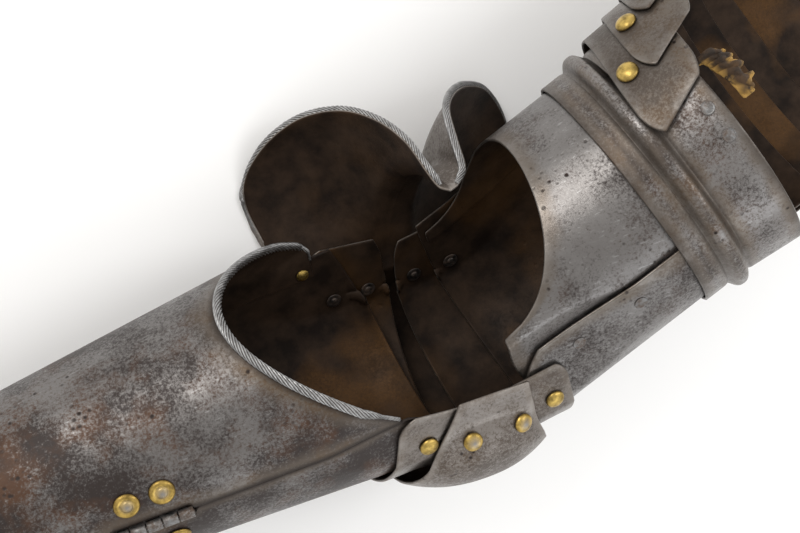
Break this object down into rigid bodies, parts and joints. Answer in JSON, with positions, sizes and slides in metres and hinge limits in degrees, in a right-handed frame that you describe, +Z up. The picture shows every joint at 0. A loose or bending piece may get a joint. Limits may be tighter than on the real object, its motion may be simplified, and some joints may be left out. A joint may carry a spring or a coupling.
{
  "type": "plate armour vambrace",
  "caption": "Plate armour arm defence: hinged lower cannon, articulated elbow cop with a bilobed wing, upper cannon with a turner collar and shoulder lames.",
  "frame": {"origin": "centre of the bounding box in plan, at the surface that the arm lies on", "axes": "+X from the wrist towards the shoulder, along the forearm in plan; +Z up; +Y to the wing's side"},
  "size_m": [0.5758, 0.2168, 0.1717],
  "materials": {
    "steel": "worn, dark patina",
    "dark_iron": "worn, brown patina",
    "brass": "worn, dull",
    "leather": "dry, torn"
  },
  "bodies": {
    "fore_back": {"fore_back_plate": "steel", "hinge_leaf_back": "dark_iron", "hinge_pin": "dark_iron", "hinge_rosette_back_1": "brass", "hinge_rosette_back_2": "brass", "pivot_end_near_1": "dark_iron", "pivot_end_far_1": "dark_iron", "closing_stud": "dark_iron"},
    "fore_front": {"fore_front_plate": "steel", "hinge_leaf_front": "dark_iron", "hinge_rosette_front_1": "brass", "hinge_rosette_front_2": "brass", "closing_seam_rivet": "brass"},
    "lame_lower": {"elbow_lame_lower": "steel", "pivot_rivet_near_1": "brass", "pivot_end_near_2": "dark_iron", "pivot_end_far_2": "dark_iron"},
    "couter": {"couter_with_wing": "steel", "pivot_rivet_near_2": "brass", "pivot_rivet_near_3": "brass", "pivot_rivet_far_2": "brass", "pivot_rivet_far_3": "brass"},
    "lame_upper": {"elbow_lame_upper": "steel", "pivot_end_near_3": "dark_iron", "pivot_rivet_near_4": "brass", "pivot_end_far_3": "dark_iron"},
    "upper_cannon": {"upper_back_plate": "steel", "upper_front_plate": "steel", "pivot_end_near_4": "dark_iron", "pivot_end_far_4": "dark_iron", "seam_rivet_near_1": "dark_iron", "seam_rivet_far_1": "dark_iron", "seam_rivet_near_2": "dark_iron", "seam_rivet_far_2": "dark_iron"},
    "shoulder": {"turner_collar": "steel", "shoulder_lame_1": "steel", "shoulder_lame_2": "steel", "shoulder_lame_3": "steel", "shoulder_lame_4": "steel", "shoulder_lame_5": "steel", "hanging_leather": "leather", "collar_rivet_1": "dark_iron", "collar_rivet_2": "dark_iron", "shoulder_rivet_front_1": "brass", "shoulder_rivet_back_1": "dark_iron", "shoulder_rivet_front_2": "brass", "shoulder_rivet_back_2": "dark_iron", "shoulder_rivet_front_3": "brass", "shoulder_rivet_back_3": "dark_iron", "shoulder_rivet_front_4": "brass", "shoulder_rivet_back_4": "dark_iron", "shoulder_rivet_front_5": "brass", "shoulder_rivet_back_5": "dark_iron"}
  },
  "joints": [
    {"name": "front_plate_hinge", "type": "hinge", "parent": "fore_back", "child": "fore_front", "pos_m": [-0.15299, -0.04502, 0.11813], "axis": [-0.9914, 0.0403, -0.1243], "range_deg": [-80, 0]},
    {"name": "lower_lame_pivots", "type": "hinge", "parent": "fore_back", "child": "lame_lower", "pos_m": [-0.02255, -0.03743, 0.06931], "axis": [-0.0387, -0.4646, 0.8847], "range_deg": [0, 25]},
    {"name": "couter_lower_pivots", "type": "hinge", "parent": "lame_lower", "child": "couter", "pos_m": [-0.00304, -0.0416, 0.06798], "axis": [-0.0387, -0.4646, 0.8847], "range_deg": [-4, 20]},
    {"name": "couter_upper_pivots", "type": "hinge", "parent": "couter", "child": "lame_upper", "pos_m": [0.0228, -0.04448, 0.06759], "axis": [-0.0387, -0.4646, 0.8847], "range_deg": [-10, 6]},
    {"name": "upper_lame_pivots", "type": "hinge", "parent": "lame_upper", "child": "upper_cannon", "pos_m": [0.04268, -0.043, 0.06924], "axis": [-0.0387, -0.4646, 0.8847], "range_deg": [-14, 4]},
    {"name": "turner", "type": "hinge", "parent": "upper_cannon", "child": "shoulder", "pos_m": [0.13391, 0.00466, 0.09825], "axis": [0.9267, 0.3145, 0.2056], "range_deg": [-45, 45]}
  ]
}
